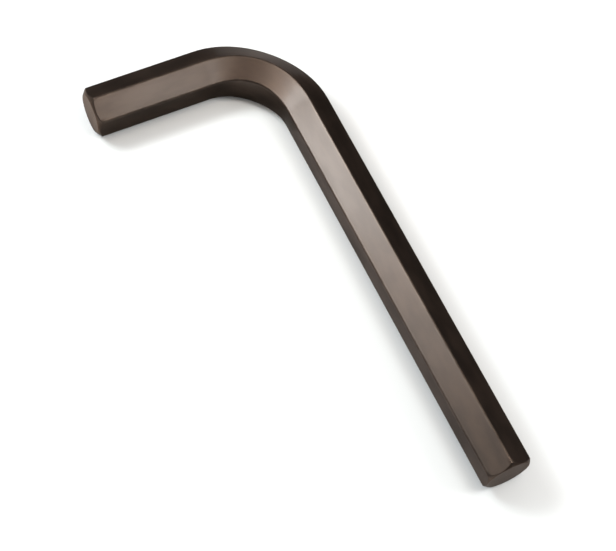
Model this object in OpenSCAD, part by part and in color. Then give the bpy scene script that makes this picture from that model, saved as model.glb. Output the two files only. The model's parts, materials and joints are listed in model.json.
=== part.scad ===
// Hex key: one length of hexagon bar, bent once to a right angle.
// It lies with one corner of the hexagon down and one up, +Z up.
// The long arm runs along +X and the short arm along -Y.
// The origin is under the middle of the key's outline, on the surface it lies on.

/* [Bar] */
// Width across opposite flats, the size that the key is known by
across_flats = 10; // [6:0.5:19]
// Width across opposite corners, a little under a sharp hexagon's, because drawing rounds them
across_corners = 11.34; // [6.8:0.01:21.9]

/* [Arms] */
// Overall length along the long arm, to the outer side of the bend
long_length = 117; // [96:0.5:160]
// Overall length along the short arm, to the outer side of the bend
short_length = 50; // [40:0.5:80]
// Radius of the bend, measured to the bar's centre line
bend_radius = 18; // [12:0.5:28]

/* [Ends] */
// Diameter of the flat circle that is left on the long arm's end
long_face_d = 9.8; // [5:0.1:9.9]
// Slope of the long arm's end chamfer, back from the flat circle, in degrees
long_chamfer_angle = 45; // [20:1:60]
// Diameter of the flat circle that is left on the short arm's end
short_face_d = 9; // [5:0.1:9.9]
// Slope of the short arm's end chamfer, back from the flat circle, in degrees
short_chamfer_angle = 38; // [20:1:60]

/* [Hidden] */

// Facets on the round surfaces
round_fn = 96;

// The hexagon has a corner up, so its flats face the inside and the outside of the bend
sharp_corner_d = across_flats / cos(30);
axis_height = across_corners / 2;
half_flats = across_flats / 2;

// Where the centre lines of the two arms would cross
elbow_x = half_flats - long_length / 2;
elbow_y = short_length / 2 - half_flats;

// Straight lengths, from the end of the bend to the end of each arm
long_straight = long_length - half_flats - bend_radius;
short_straight = short_length - half_flats - bend_radius;

// Room around the bar that a turning cut clears
cut_margin = 2;

// Section of the drawn bar: flats on left and right, a rounded corner up and down
module bar_section() {
    intersection() {
        rotate(90)
            circle(d = sharp_corner_d, $fn = 6);
        circle(d = across_corners, $fn = round_fn);
    }
}

// What a lathe takes off an arm's end. The arm comes up +Z and ends at z = 0.
module end_turning(face_d, chamfer_angle) {
    cut_r = across_corners / 2 + cut_margin;
    cut_depth = (cut_r - face_d / 2) * tan(chamfer_angle);
    translate([0, 0, -cut_depth])
        difference() {
            cylinder(h = cut_depth + cut_margin, r = cut_r, $fn = round_fn);
            cylinder(h = cut_depth, r1 = cut_r, r2 = face_d / 2, $fn = round_fn);
        }
}

// A straight arm that starts at z = 0 and ends in a turned chamfer
module straight_arm(length, face_d, chamfer_angle) {
    difference() {
        linear_extrude(height = length)
            bar_section();
        translate([0, 0, length])
            end_turning(face_d, chamfer_angle);
    }
}

// A quarter turn of the bar about the origin, from the -X side round to the +Y side
module bend() {
    rotate([0, 0, 90])
        rotate_extrude(angle = 90, $fn = round_fn)
            translate([bend_radius, 0])
                bar_section();
}

module hex_key() {
    color("#4a423d")
        translate([elbow_x + bend_radius, elbow_y - bend_radius, axis_height])
            union() {
                bend();
                translate([0, bend_radius, 0])
                    rotate([90, 0, 90])
                        straight_arm(long_straight, long_face_d, long_chamfer_angle);
                translate([-bend_radius, 0, 0])
                    rotate([90, 0, 0])
                        straight_arm(short_straight, short_face_d, short_chamfer_angle);
            }
}

hex_key();
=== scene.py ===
# %% [markdown]
# # A bent hexagon key
#
# A hexagon key is one length of drawn hexagon bar. It is cut, turned to a short cone on each end,
# bent once to a right angle, hardened and then blackened in a hot salt bath.
# The lesson follows the same order: section, bend, arms, turned ends, then the finish.
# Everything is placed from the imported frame, so the model starts by loading it and keeping its box.

import json
import math

import bmesh
import bpy
from mathutils import Matrix, Vector


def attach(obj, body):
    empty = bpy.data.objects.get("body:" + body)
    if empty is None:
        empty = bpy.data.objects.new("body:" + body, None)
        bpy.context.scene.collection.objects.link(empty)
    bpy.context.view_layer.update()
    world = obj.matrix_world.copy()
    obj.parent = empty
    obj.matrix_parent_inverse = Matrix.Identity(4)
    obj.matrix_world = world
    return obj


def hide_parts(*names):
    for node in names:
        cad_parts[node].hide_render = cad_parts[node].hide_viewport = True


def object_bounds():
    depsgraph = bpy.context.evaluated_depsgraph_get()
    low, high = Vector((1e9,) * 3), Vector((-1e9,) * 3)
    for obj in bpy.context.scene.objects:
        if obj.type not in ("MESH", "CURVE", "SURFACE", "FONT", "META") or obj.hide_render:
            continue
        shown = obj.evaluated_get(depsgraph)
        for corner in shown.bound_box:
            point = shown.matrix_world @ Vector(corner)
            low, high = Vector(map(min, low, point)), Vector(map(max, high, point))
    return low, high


MM = 0.001

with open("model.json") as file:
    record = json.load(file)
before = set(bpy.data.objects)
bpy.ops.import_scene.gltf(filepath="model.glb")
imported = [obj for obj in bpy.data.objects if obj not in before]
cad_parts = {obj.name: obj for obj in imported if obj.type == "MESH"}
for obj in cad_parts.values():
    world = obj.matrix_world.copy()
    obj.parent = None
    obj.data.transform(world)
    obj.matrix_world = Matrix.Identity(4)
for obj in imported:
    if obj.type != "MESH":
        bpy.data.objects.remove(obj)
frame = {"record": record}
frame_low, frame_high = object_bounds()
print("frame box, mm:", [round(side / MM, 2) for side in frame_high - frame_low])

# %% [markdown]
# The frame already says where the two arms lie. Each arm ends in a flat circle, and the record
# gives the middle of both circles. Their crossing is the elbow, where the two centre lines
# would meet if the key had a sharp corner. Reading these from the frame, and not typing them
# again, keeps the visual model on top of the exact one. The angle from the middle of a flat to its
# corner turns the distance to the flat into the distance to a sharp corner.

# %% Read the bar's measures from the frame
FLATS = 6

mounts = {mount["name"]: mount for mount in frame["record"]["mounts"]}
long_end = Vector(mounts["long_end_face"]["pos_m"])
short_end = Vector(mounts["short_end_face"]["pos_m"])
elbow = Vector((short_end.x, long_end.y, long_end.z))

half_flats = frame_high.y - elbow.y
corner_reach = (frame_high.z - frame_low.z) / 2
flat_to_corner = math.pi / FLATS
sharp_reach = half_flats / math.cos(flat_to_corner)
print("across flats %.2f mm, across corners %.2f mm" % (half_flats * 2 / MM, corner_reach * 2 / MM))

# %% [markdown]
# The section is a hexagon with a corner up, so that flats face the inside and the outside of the
# bend. Drawing the bar through a die leaves it less than perfect: each flat falls away by a few
# hundredths of a millimetre towards its corners, and the corners come out rounded. Those two
# things make the soft gradients and the thin edge lines that a real key shows, so the hexagon
# is subdivided, its flats are crowned, and its corners are bevelled before it is swept anywhere.

# %% Draw the section of the bar
BEND_RADIUS = 18 * MM
CUTS_PER_FLAT = 13
FLAT_CROWN = 0.03 * MM
CROWN_POWER = 4
CORNER_SEGMENTS = 4

bend_centre = elbow + Vector((BEND_RADIUS, -BEND_RADIUS, 0))
bend_start = elbow + Vector((BEND_RADIUS, 0, 0))

# Local X of the circle looks towards the inside of the bend, local Y looks up
section_place = Matrix.Translation(bend_start) @ Matrix(
    ((0, 0, -1, 0), (-1, 0, 0, 0), (0, 1, 0, 0), (0, 0, 0, 1))
)

bar = bmesh.new()
bmesh.ops.create_circle(
    bar, segments=FLATS, radius=sharp_reach, cap_ends=True, matrix=section_place
)
bmesh.ops.subdivide_edges(bar, edges=bar.edges[:], cuts=CUTS_PER_FLAT)


def section_offset(point):
    """How far a point of the section at the start of the bend lies inwards and upwards."""
    return bend_start.y - point.y, point.z - bend_start.z


for vertex in bar.verts:
    inward, upward = section_offset(vertex.co)
    angle = math.atan2(upward, inward)
    from_flat_middle = (angle + flat_to_corner) % (2 * flat_to_corner) - flat_to_corner
    share = math.tan(from_flat_middle) / math.tan(flat_to_corner)
    shrink = 1 - FLAT_CROWN * abs(share) ** CROWN_POWER / Vector((inward, upward)).length
    vertex.co = bend_start + (vertex.co - bend_start) * shrink

corners = sorted(bar.verts, key=lambda vertex: (vertex.co - bend_start).length)[-FLATS:]
corner_radius = (sharp_reach - FLAT_CROWN - corner_reach) / (1 / math.cos(flat_to_corner) - 1)
bmesh.ops.bevel(
    bar,
    geom=corners,
    offset=corner_radius * math.tan(flat_to_corner),
    offset_type="OFFSET",
    segments=CORNER_SEGMENTS,
    profile=0.5,
    affect="VERTICES",
    material=-1,
)
reach = max((vertex.co - bend_start).length for vertex in bar.verts)
print("section: %d points, corner radius %.2f mm, reach %.3f mm"
      % (len(bar.verts), corner_radius / MM, reach / MM))

# %% [markdown]
# Grain, scratches and oxide follow the bar round its bend, so the finish needs to know where each
# point was before bending. A vertex attribute does that: the distance along the bar, then the
# offset towards the inside of the bend, then the height, all in millimetres. It is written on
# the section once, and every later ring of points copies it and only changes the first number.

# %% Note each point's place in the straight bar
bar_place = bar.verts.layers.float_vector.new("bar_place")
turned = bar.verts.layers.float.new("turned")

for vertex in bar.verts:
    inward, upward = section_offset(vertex.co)
    vertex[bar_place] = Vector((0, inward, upward)) / MM

bmesh.ops.delete(bar, geom=bar.faces[:], context="FACES_ONLY")
start_ring = bar.edges[:]
print("open ring of %d edges" % len(start_ring))

# %% [markdown]
# The bend is a spin: the open ring travels a quarter turn about the centre of the bend and leaves
# a skin of faces behind it. Forty-eight steps keep the outline round, because each step then
# strays only about three thousandths of a millimetre from the true arc, even on the outside.

# %% Bend the bar
BEND_STEPS = 48
BEND_ANGLE = math.radians(90)

spun = bmesh.ops.spin(
    bar,
    geom=start_ring,
    cent=bend_centre,
    axis=(0, 0, 1),
    angle=BEND_ANGLE,
    steps=BEND_STEPS,
)
short_ring = [item for item in spun["geom_last"] if isinstance(item, bmesh.types.BMEdge)]


def turned_through(point):
    """How far round the bend a point is, as an angle from the long arm's side."""
    return math.atan2(bend_centre.x - point.x, point.y - bend_centre.y)


for vertex in bar.verts:
    vertex[bar_place].x = turned_through(vertex.co) * BEND_RADIUS / MM
print("bend: %d faces, %.1f mm of bar" % (len(bar.faces), BEND_ANGLE * BEND_RADIUS / MM))

# %% [markdown]
# Bending squeezes the inside of the bar and stretches the outside. On the real key the inner flat
# bulges and grows taller, and the outer flats are pulled in and narrow a little. The section
# also leans: its upper corners creep outwards and its lower ones inwards, because the bar is
# free to roll a little in the former. The place attribute makes this easy to write, because
# it still holds each point's offset in the undistorted section. The change fades to nothing
# at both ends of the bend.

# %% Swell the inside of the bend, flatten the outside and lean the section
INNER_BULGE = 0.25 * MM
INNER_NARROWING = 0.1 * MM
OUTER_FLATTENING = 0.3 * MM
CORNER_LEAN = 0.38 * MM
HEIGHT_CHANGE = 0.13

side_corner_height = half_flats * math.tan(flat_to_corner)

for vertex in bar.verts:
    along, inward, upward = vertex[bar_place]
    round_bend = along * MM / BEND_RADIUS
    strength = math.sin(math.pi * round_bend / BEND_ANGLE) ** 2
    side = inward * MM / half_flats
    height = upward * MM / side_corner_height
    shift = -CORNER_LEAN * max(-1, min(1, height)) * min(1, 1 + side)
    if side > 0:
        from_middle = min(height * height, 1)
        shift += side * (INNER_BULGE * (1 - from_middle) - INNER_NARROWING * from_middle)
    else:
        shift -= side * OUTER_FLATTENING
    towards_centre = Vector((math.sin(round_bend), -math.cos(round_bend), 0))
    vertex.co += towards_centre * shift * strength
    vertex.co.z += upward * MM * HEIGHT_CHANGE * side * abs(side) * strength
highest = max(vertex.co.z for vertex in bar.verts)
print("highest point of the bend %.3f mm, frame %.3f mm" % (highest / MM, frame_high.z / MM))

# %% [markdown]
# The arms are plain extrusions of the two open rings. What makes them look turned is the very end:
# a lathe tool cuts a cone round the hexagon until a flat circle is left. The cone meets each
# flat in a shallow arch, and the arch needs no boolean. A point that stands further from the
# arm's centre line meets the cone earlier, so each point of the end ring only steps back by its
# own reach beyond the circle, times the slope of the cone.

# %% Turn the end of an arm
FACE_INSET = 0.4 * MM


def extrude_ring(ring, step):
    """Pulls an open ring of edges along by a step, and returns the new ring."""
    made = bmesh.ops.extrude_edge_only(bar, edges=ring)["geom"]
    points = [item for item in made if isinstance(item, bmesh.types.BMVert)]
    bmesh.ops.translate(bar, verts=points, vec=step)
    return [item for item in made if isinstance(item, bmesh.types.BMEdge)]


def ring_points(ring):
    """The points of a ring of edges, each once."""
    return list({vertex for edge in ring for vertex in edge.verts})


def spoke_to(point, outward, face_centre):
    """The way out to a point from the arm's centre line, square to that line."""
    away = point - face_centre
    return away - outward * away.dot(outward)


def turn_end(ring, outward, face_centre, face_radius, slope_degrees):
    """Cuts a cone round the end ring and closes it with a flat circle. Returns both edge rings."""
    slope = math.tan(math.radians(slope_degrees))
    for vertex in ring_points(ring):
        beyond = spoke_to(vertex.co, outward, face_centre).length - face_radius
        vertex.co -= outward * beyond * slope
    rim = extrude_ring(ring, Vector((0, 0, 0)))
    for vertex in ring_points(rim):
        spoke = spoke_to(vertex.co, outward, face_centre)
        vertex.co = face_centre + spoke.normalized() * face_radius
        vertex[turned] = 1
    face = bmesh.ops.contextual_create(bar, geom=rim)["faces"]
    bmesh.ops.inset_region(bar, faces=face, thickness=FACE_INSET, use_even_offset=True)
    return ring, rim


# %% [markdown]
# The long arm's end is turned at forty-five degrees and keeps nearly the whole width of the bar.
# The short arm's end has a smaller circle and a flatter cone. Both arms get one extra ring just
# before the cone, so that the shading of the long flats isn't pulled about by the small faces
# of the end.

# %% Make both arms
LONG_FACE_RADIUS = 4.9 * MM
LONG_SLOPE = 45
SHORT_FACE_RADIUS = 4.5 * MM
SHORT_SLOPE = 38
HOLDING_RING = 2 * MM


def make_arm(ring, outward, ring_centre, face_centre, face_radius, slope_degrees, sign):
    """Extrudes an arm from a ring of the bend to its turned end."""
    length = (face_centre - ring_centre).dot(outward)
    for step in (length - HOLDING_RING, HOLDING_RING):
        ring = extrude_ring(ring, outward * step)
        for vertex in ring_points(ring):
            vertex[bar_place].x += sign * step / MM
    return turn_end(ring, outward, face_centre, face_radius, slope_degrees)


bend_end = elbow - Vector((0, BEND_RADIUS, 0))
end_rings = make_arm(
    start_ring, Vector((1, 0, 0)), bend_start, long_end, LONG_FACE_RADIUS, LONG_SLOPE, -1
)
end_rings += make_arm(
    short_ring, Vector((0, -1, 0)), bend_end, short_end, SHORT_FACE_RADIUS, SHORT_SLOPE, 1
)
bmesh.ops.recalc_face_normals(bar, faces=bar.faces[:])
print("bar: %d faces before its edges are broken" % len(bar.faces))

# %% [markdown]
# No edge on a tumbled and blackened tool is a knife edge. The four turned rings get a narrow
# bevel. Then doubles are merged, the normals are made to point outwards, and the mesh becomes
# an object whose own origin stays at the world's, as the frame's nodes do. Weighted normals
# let each large flat keep its own direction, so only the narrow faces turn the light.

# %% Break the edges and make the piece
EDGE_BREAK = 0.04 * MM
EDGE_SEGMENTS = 2
MERGE_DISTANCE = 0.0005 * MM
FLAT_SHADING_WEIGHT = 80

bmesh.ops.bevel(
    bar,
    geom=[edge for ring in end_rings for edge in ring],
    offset=EDGE_BREAK,
    offset_type="OFFSET",
    segments=EDGE_SEGMENTS,
    profile=0.5,
    affect="EDGES",
    material=-1,
)
bmesh.ops.remove_doubles(bar, verts=bar.verts[:], dist=MERGE_DISTANCE)
bmesh.ops.recalc_face_normals(bar, faces=bar.faces[:])
for face in bar.faces:
    face.smooth = True
open_edges = [edge for edge in bar.edges if not edge.is_manifold]
print("bar: %d faces, %d open edges, volume %.0f mm3"
      % (len(bar.faces), len(open_edges), bar.calc_volume() / MM**3))

key_mesh = bpy.data.meshes.new("hex_key_bar")
bar.to_mesh(key_mesh)
bar.free()
key = bpy.data.objects.new("hex_key_bar", key_mesh)
bpy.context.scene.collection.objects.link(key)

weighted = key.modifiers.new("flat_shading", "WEIGHTED_NORMAL")
weighted.mode = "FACE_AREA"
weighted.weight = FLAT_SHADING_WEIGHT

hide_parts("hex_key")
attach(key, "root")

# %% [markdown]
# Shader maths reads best as sums. The class below holds one output socket, and Python's own
# operators add the Math nodes, so a mask can be written as `1 - wear * 0.5`.

# %% Write shader maths as sums
class Wire:
    """An output socket of a shader node that can be used in sums."""

    def __init__(self, socket):
        self.socket = socket

    def sum(self, operation, first, second):
        """Adds a Math node that takes two wires or plain numbers."""
        tree = self.socket.id_data
        maths = tree.nodes.new("ShaderNodeMath")
        maths.operation = operation
        for value, socket in zip((first, second), maths.inputs):
            plug_in(tree, value, socket)
        return Wire(maths.outputs[0])

    def __add__(self, other):
        return self.sum("ADD", self, other)

    def __radd__(self, other):
        return self.sum("ADD", other, self)

    def __sub__(self, other):
        return self.sum("SUBTRACT", self, other)

    def __rsub__(self, other):
        return self.sum("SUBTRACT", other, self)

    def __mul__(self, other):
        return self.sum("MULTIPLY", self, other)

    def __rmul__(self, other):
        return self.sum("MULTIPLY", other, self)


def plug_in(tree, value, socket):
    """Links a wire to a socket, or sets a plain value on it."""
    if isinstance(value, Wire):
        tree.links.new(value.socket, socket)
    else:
        socket.default_value = value


# %% [markdown]
# Every other node comes from one method of a second class: its type, its settings, then what
# goes into its sockets, either a value or another wire. The few nodes that the key's finish
# uses again and again, such as noise and a soft step, get short methods of their own.

# %% Write shader nodes as calls
class Finish:
    """A material that is written node by node."""

    def __init__(self, name):
        self.material = bpy.data.materials.new(name)
        self.material.use_nodes = True
        self.tree = self.material.node_tree
        self.shader = self.tree.nodes["Principled BSDF"]

    def node(self, kind, settings=None, inputs=None, output=0):
        """Adds a node, sets it, fills its sockets and returns one of its outputs."""
        made = self.tree.nodes.new(kind)
        for name, value in (settings or {}).items():
            setattr(made, name, value)
        for name, value in (inputs or {}).items():
            plug_in(self.tree, value, made.inputs[name])
        return Wire(made.outputs[output])

    def noise(self, place, scale, detail, roughness=0.5):
        """Soft noise in the bar's own millimetres, from 0 to 1."""
        sockets = {"Vector": place, "Scale": scale, "Detail": detail, "Roughness": roughness}
        return self.node("ShaderNodeTexNoise", {"noise_dimensions": "3D"}, sockets, "Fac")

    def ramp_between(self, value, low, high):
        """0 below low, 1 above high, and a smooth step between them."""
        settings = {"interpolation_type": "SMOOTHSTEP", "clamp": True}
        return self.node(
            "ShaderNodeMapRange", settings, {"Value": value, "From Min": low, "From Max": high}
        )

    def stretch(self, place, along):
        """Shrinks distances along the bar, so that what is drawn there comes out longer."""
        factors = (along, 1, 1)
        return self.node(
            "ShaderNodeVectorMath", {"operation": "MULTIPLY"}, {0: place, 1: factors}
        )

    def blend(self, share, first, second):
        """The first colour where the share is 0, the second where it is 1."""
        settings = {"data_type": "RGBA", "blend_type": "MIX"}
        return self.node("ShaderNodeMix", settings, {0: share, 6: first, 7: second}, 2)

    def use(self, **sockets):
        """Feeds the Principled shader. An underscore in a name stands for a space."""
        for name, value in sockets.items():
            plug_in(self.tree, value, self.shader.inputs[name.replace("_", " ")])


# %% [markdown]
# Hot blackening turns the surface of the steel into a thin brown-black oxide that keeps the
# shape of what is under it. So the finish is built from the steel up. Along the flats run the
# draw lines of the die, very long and very fine. On the turned ends they are replaced by the
# tool's rings. Over both lies the oxide, cloudy where the bath took more or less, with the
# brown showing through a little more on the corners that hands and sockets rub.

# %% Lay out where the marks of making go
finish = Finish("black_oxide_steel")

place = finish.node("ShaderNodeAttribute", {"attribute_name": "bar_place"}, output="Vector")
end_mask = finish.node("ShaderNodeAttribute", {"attribute_name": "turned"}, output="Fac")
inward_part = finish.node("ShaderNodeSeparateXYZ", None, {"Vector": place}, "Y")
upward_part = Wire(inward_part.socket.node.outputs["Z"])
reach_squared = inward_part * inward_part + upward_part * upward_part
spoke_length = finish.node("ShaderNodeMath", {"operation": "SQRT"}, {0: reach_squared})

draw_lines = finish.noise(finish.stretch(place, 0.03), scale=5.0, detail=3, roughness=0.6)
fine_lines = finish.noise(finish.stretch(place, 0.05), scale=16.0, detail=2, roughness=0.6)
clouds = finish.noise(finish.stretch(place, 0.35), scale=0.32, detail=3, roughness=0.55)
pores = finish.noise(place, scale=9.0, detail=2, roughness=0.6)
print("marks: %d nodes" % len(finish.tree.nodes))

# %% [markdown]
# Wear is a mask of its own. It starts a little short of the corners, is full just about on them,
# and comes and goes along the bar, because no hand rubs a key evenly.

# %% Rub the corners
WEAR_START = 5.45
WEAR_FULL = 5.68
PATCH_RANGE = (0.35, 0.65)

near_corner = finish.ramp_between(spoke_length, WEAR_START, WEAR_FULL)
rubbed_patches = finish.noise(finish.stretch(place, 0.25), scale=1.3, detail=3)
corner_wear = near_corner * finish.ramp_between(rubbed_patches, *PATCH_RANGE)
print("wear from %.2f mm to %.2f mm out" % (WEAR_START, WEAR_FULL))

# %% [markdown]
# The colour stays close to black with a warm brown in it. The oxide reflects a little of its own
# brown, and the thin film of oil left on it reflects white light more sharply. Two layers of the
# Principled shader stand for them: a metallic base with a dark brown colour and a wide
# highlight, and a coat with a narrower one.

# %% Mix the colour of the oxide
OXIDE_BROWN = (0.09, 0.063, 0.05, 1)
OXIDE_BLACK = (0.07, 0.051, 0.042, 1)
TURNED_BROWN = (0.105, 0.073, 0.056, 1)
RUBBED_BROWN = (0.14, 0.105, 0.085, 1)
RUBBED_SHARE = 0.5
CLOUD_RANGE = (0.3, 0.7)

cloud_mask = finish.ramp_between(clouds, *CLOUD_RANGE)
drawn_oxide = finish.blend(cloud_mask, OXIDE_BLACK, OXIDE_BROWN)
oxide = finish.blend(end_mask, drawn_oxide, TURNED_BROWN)
worn = finish.blend(corner_wear * RUBBED_SHARE, oxide, RUBBED_BROWN)
finish.use(Base_Color=worn, Metallic=1.0)

# %% [markdown]
# Gloss varies less than colour. Clouds, draw lines and pores each roughen the oxide a little, and
# rubbing smooths it. The oil gathers where the oxide is cloudy and thick, and less of it stays
# on the turned ends.

# %% Set the gloss of the oxide and its oil
OXIDE_ROUGHNESS = 0.42
CLOUD_ROUGHENING = 0.04
LINE_ROUGHENING = 0.05
PORE_ROUGHENING = 0.03
WEAR_SMOOTHING = 0.04
OIL_FILM = 0.16
OIL_IN_CLOUDS = 0.08
OIL_OFF_ENDS = 0.05

marks_roughening = draw_lines * LINE_ROUGHENING + pores * PORE_ROUGHENING
oxide_roughness = OXIDE_ROUGHNESS + cloud_mask * CLOUD_ROUGHENING + marks_roughening
finish.use(Roughness=oxide_roughness - corner_wear * WEAR_SMOOTHING)
finish.use(Coat_Weight=OIL_FILM + cloud_mask * OIL_IN_CLOUDS - end_mask * OIL_OFF_ENDS)
finish.use(Coat_Roughness=0.2, Coat_IOR=1.45, Specular_Tint=(0.4, 0.4, 0.4, 1))
print("colour and gloss: %d nodes" % len(finish.tree.nodes))

# %% [markdown]
# The relief is tiny, so it goes in a Bump node and not in the mesh. Draw lines fade out where the
# lathe has cut, and rings about the arm's centre line fade in. A ring is a sine of the
# distance from the centre line, broken up by noise so that the rings differ in depth.

# %% Cut the draw lines and the turning rings
RING_PITCH = 0.22
BUMP_HEIGHT = 0.004 * MM
DRAW_LINE_DEPTH = 1.2
FINE_LINE_DEPTH = 0.5
PORE_DEPTH = 0.5
RING_DEPTH = 0.8

ring_wave = finish.node(
    "ShaderNodeMath", {"operation": "SINE"}, {0: spoke_length * (2 * math.pi / RING_PITCH)}
)
ring_height = ring_wave * finish.noise(place, scale=1.6, detail=2)
line_height = draw_lines * DRAW_LINE_DEPTH + fine_lines * FINE_LINE_DEPTH + pores * PORE_DEPTH
relief = line_height * (1 - end_mask) + ring_height * end_mask * RING_DEPTH
bump = finish.node(
    "ShaderNodeBump", None, {"Height": relief, "Strength": 1.0, "Distance": BUMP_HEIGHT}, "Normal"
)
finish.use(Normal=bump)
key_mesh.materials.append(finish.material)
print("finish: %d nodes" % len(finish.tree.nodes))

# %% [markdown]
# The key lies on a plain pale table top. It is a flat plane that only has to be large enough to
# fill the view from any side. It isn't part of the object.

# %% Lay the table
TABLE_SIZE = 4.0
TABLE_COLOUR = (0.6, 0.597, 0.593, 1)

table = bmesh.new()
bmesh.ops.create_grid(table, x_segments=1, y_segments=1, size=TABLE_SIZE / 2)
table_mesh = bpy.data.meshes.new("table_top")
table.to_mesh(table_mesh)
table.free()
table_top = bpy.data.objects.new("table_top", table_mesh)
bpy.context.scene.collection.objects.link(table_top)

laminate = Finish("pale_laminate")
laminate.use(Base_Color=TABLE_COLOUR, Roughness=0.7, Specular_IOR_Level=0.2)
table_mesh.materials.append(laminate.material)
print("table: %.0f m square" % TABLE_SIZE)

# %% [markdown]
# A dark glossy bar shows little of its own colour. What one sees on each flat is a blurred
# picture of the lamps and of the table, so the panels are placed by what each flat reflects.
# The key panels hang on the inner side of the bend, which makes the upper flat of the long arm
# bright near the bend and lets it fade towards its end. The fill panels light the flat of the
# short arm, and the low rim panel the outside of the bend. The weak warm lamps between them
# leave the brown dip that runs across the middle of the bend. Brightness says how bright a
# panel itself looks, so its power follows from its area.

# %% Hang the light panels
PANEL_SIDE = 80 * MM
COOL = (0.87, 0.97, 1.0)
NEUTRAL = (1.0, 1.0, 1.0)
WARM = (1.0, 0.86, 0.72)
AMBER = (1.0, 0.8, 0.62)


def light_panel(name, place_mm, brightness, tint, aim_mm=(0, 0, 0), spread_degrees=180):
    """A soft square lamp that faces the key and isn't seen itself."""
    lamp = bpy.data.lights.new(name, "AREA")
    lamp.shape = "SQUARE"
    lamp.size = PANEL_SIDE
    lamp.color = tint
    lamp.energy = brightness * math.pi * PANEL_SIDE**2
    lamp.spread = math.radians(spread_degrees)
    panel = bpy.data.objects.new(name, lamp)
    panel.location = Vector(place_mm) * MM
    facing = Vector(aim_mm) * MM - panel.location
    panel.rotation_euler = facing.to_track_quat("-Z", "Y").to_euler()
    panel.visible_camera = False
    bpy.context.scene.collection.objects.link(panel)


light_panel("key_panel", (-160, -160, 230), 31.0, COOL)
light_panel("key_panel_left", (-160, -80, 230), 12.4, NEUTRAL)
light_panel("key_panel_right", (-88, -160, 230), 5.4, COOL)
light_panel("fill_panel", (80, 80, 230), 9.6, COOL)
light_panel("fill_panel_back", (160, 240, 230), 13.5, NEUTRAL)
light_panel("fill_panel_near", (62, 44, 230), 6.3, WARM)
light_panel("dip_lamp", (-24, -113, 230), 0.2, AMBER, (-48, 14, 6), 30)
light_panel("rim_panel", (-300, 200, 80), 6.0, NEUTRAL)
print("lamps: %d" % len(bpy.data.lights))

# %% [markdown]
# The outer flats of both arms face away from the lamps and are nearly black. Black flags
# stand there, as a studio would put them, so that those flats don't mirror the pale table. A
# gap between them lets the outside of the bend catch the rim panel. A low flag in front keeps
# the short arm's cone dark. A grey card on the table along the inner side of the short arm is
# painted shade: the inner flats mirror it as the bar's shadow on the table. A small darker card
# is painted shade of the same kind inside the bend, and a cream one is a painted pool of light
# that the short arm's end mirrors, so that the end looks brighter. All are hidden from the camera
# and cast no shadow.

# %% Put up the flags and lay the cards
FACING_Y = Matrix.Rotation(math.pi / 2, 3, "X")
FACING_X = Matrix.Rotation(math.pi / 2, 3, "Y")
FACING_UP = Matrix.Identity(3)
BLACK = (0.0, 0.0, 0.0, 1)
BEND_PAINTED_SHADE_GREY = (0.09, 0.09, 0.085, 1)
ARM_PAINTED_SHADE_GREY = (0.19, 0.19, 0.18, 1)
PAINTED_LIGHT_CREAM = (0.95, 0.86, 0.78, 1)


def hidden_card(name, centre_mm, size_mm, facing, colour):
    """A flat card that only reflections can see."""
    shape = bmesh.new()
    bmesh.ops.create_grid(shape, x_segments=1, y_segments=1, size=0.5)
    bmesh.ops.scale(shape, verts=shape.verts[:], vec=(size_mm[0] * MM, size_mm[1] * MM, 1))
    bmesh.ops.rotate(shape, verts=shape.verts[:], matrix=facing)
    bmesh.ops.translate(shape, verts=shape.verts[:], vec=Vector(centre_mm) * MM)
    card_mesh = bpy.data.meshes.new(name)
    shape.to_mesh(card_mesh)
    shape.free()
    card = bpy.data.objects.new(name, card_mesh)
    bpy.context.scene.collection.objects.link(card)
    card.visible_camera = False
    card.visible_diffuse = False
    card.visible_shadow = False
    felt = Finish(name + "_felt")
    felt.use(Base_Color=colour, Roughness=1.0, Specular_IOR_Level=0.0)
    card_mesh.materials.append(felt.material)


hidden_card("back_flag", (55, 75, 100), (290, 300), FACING_Y, BLACK)
hidden_card("side_flag", (-110, -26, 60), (150, 108), FACING_X, BLACK)
hidden_card("front_flag", (-50, -110, 35), (160, 70), FACING_Y, BLACK)
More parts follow.
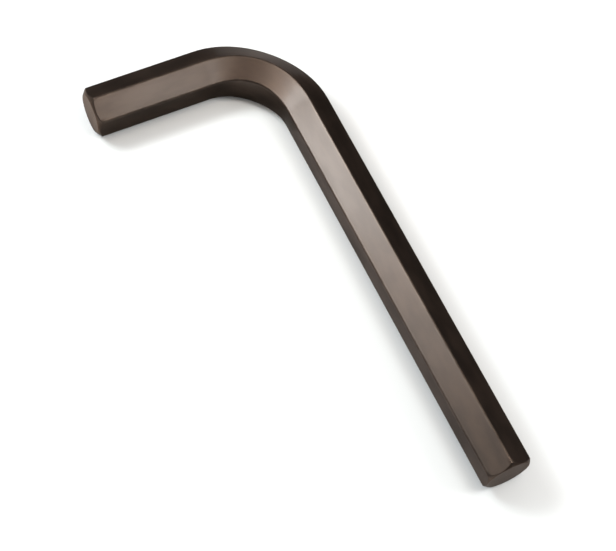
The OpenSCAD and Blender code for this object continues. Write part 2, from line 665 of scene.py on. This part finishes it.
# Painted shade: a grey card, seen only in reflections, stands for the bar's shadow on the table by
# the short arm
hidden_card("arm_painted_shade_card", (-42, -16, 0.3), (14, 58), FACING_UP, ARM_PAINTED_SHADE_GREY)
# Painted shade: a darker card, seen only in reflections, stands for the shadow on the table inside
# the bend
hidden_card("bend_painted_shade_card", (-42, 6, 0.5), (7, 10), FACING_UP, BEND_PAINTED_SHADE_GREY)
# Painted light: a cream card, seen only in reflections, is a pool of light on the table that the
# short arm's end mirrors
hidden_card("end_painted_light_card", (-60, -37, 0.3), (26, 22), FACING_UP, PAINTED_LIGHT_CREAM)
print("felts:", [material.name for material in bpy.data.materials if "felt" in material.name])

# %% [markdown]
# The world is a pale dome. It lights the table evenly, also far from the lamps, and it is what
# a low view sees behind the table. The bar doesn't reflect it, or the dark flats would go grey.

# %% Make the pale dome
DOME_BRIGHTNESS = 0.75

world = bpy.data.worlds.new("pale_dome")
bpy.context.scene.world = world
world.use_nodes = True
backdrop = world.node_tree.nodes["Background"]
backdrop.inputs["Color"].default_value = (1, 1, 1, 1)
backdrop.inputs["Strength"].default_value = DOME_BRIGHTNESS
world.cycles_visibility.glossy = False
print("dome brightness %.2f" % DOME_BRIGHTNESS)

# %% [markdown]
# The camera looks steeply down on the key from the end of the long arm, with a longish lens and
# a slight turn about its own axis. The Standard view transform keeps the colours as mixed.

# %% Set the camera
CAMERA_PLACE = (124.97, -92.6, 305.5)
CAMERA_AIM = (1.55, 2.15, 5.67)
CAMERA_ROLL = 13.0
LENS = 92.45

camera = bpy.data.cameras.new("camera")
camera.lens = LENS
viewer = bpy.data.objects.new("camera", camera)
viewer.location = Vector(CAMERA_PLACE) * MM
sight_line = Vector(CAMERA_AIM) * MM - viewer.location
look = sight_line.to_track_quat("-Z", "Y").to_matrix()
roll = Matrix.Rotation(math.radians(CAMERA_ROLL), 3, "Z")
viewer.rotation_euler = (look @ roll).to_euler()
bpy.context.scene.collection.objects.link(viewer)
bpy.context.scene.camera = viewer
bpy.context.scene.view_settings.view_transform = "Standard"
print("camera %.0f mm from its aim" % (sight_line.length / MM))
